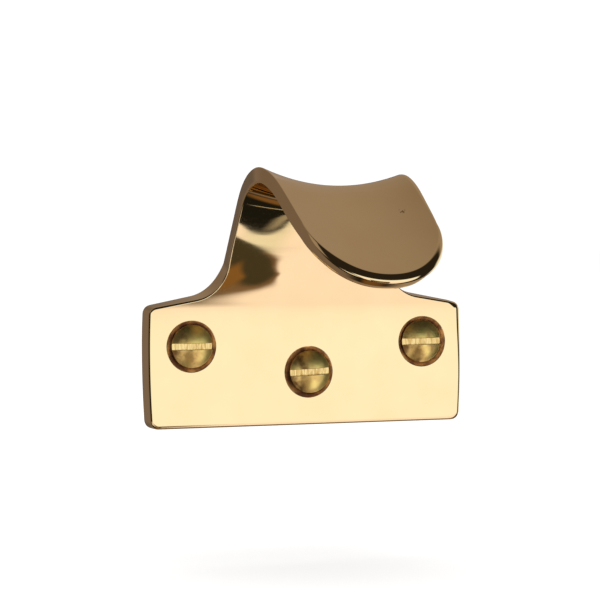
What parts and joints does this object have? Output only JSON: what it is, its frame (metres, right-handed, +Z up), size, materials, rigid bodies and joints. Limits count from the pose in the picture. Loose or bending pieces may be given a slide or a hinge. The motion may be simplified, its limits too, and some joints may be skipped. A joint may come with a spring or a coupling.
{
  "type": "sash lift handle",
  "caption": "Cast brass hook sash lift: flat backplate with concave shoulders, a neck that curls forward into a dished round-ended finger tongue, and slotted raised-head screws.",
  "frame": {"origin": "middle of the plate's flat back face, on the surface that it is screwed to", "axes": "+Z up the sash, +Y back into the wood, the front and the finger tongue face -Y, +X along the plate to the right as seen from the front"},
  "size_m": [0.054, 0.0553, 0.0406],
  "materials": {
    "polished_brass": "polished and lacquered cast brass",
    "screw_brass": "satin turned brass, bare metal in the slot"
  },
  "bodies": {
    "lift": {"lift_body": "polished_brass"},
    "left_screw": {"screw_left": "screw_brass"},
    "centre_screw": {"screw_centre": "screw_brass"},
    "right_screw": {"screw_right": "screw_brass"}
  },
  "joints": [
    {"name": "left_screw_turn", "type": "hinge", "parent": "lift", "child": "left_screw", "pos_m": [-0.01966, -0.004, 0.0034], "axis": [0, 1, 0], "continuous": true},
    {"name": "centre_screw_turn", "type": "hinge", "parent": "lift", "child": "centre_screw", "pos_m": [0.0003, -0.004, -0.00113], "axis": [0, 1, 0], "continuous": true},
    {"name": "right_screw_turn", "type": "hinge", "parent": "lift", "child": "right_screw", "pos_m": [0.01986, -0.004, 0.0034], "axis": [0, 1, 0], "continuous": true}
  ]
}
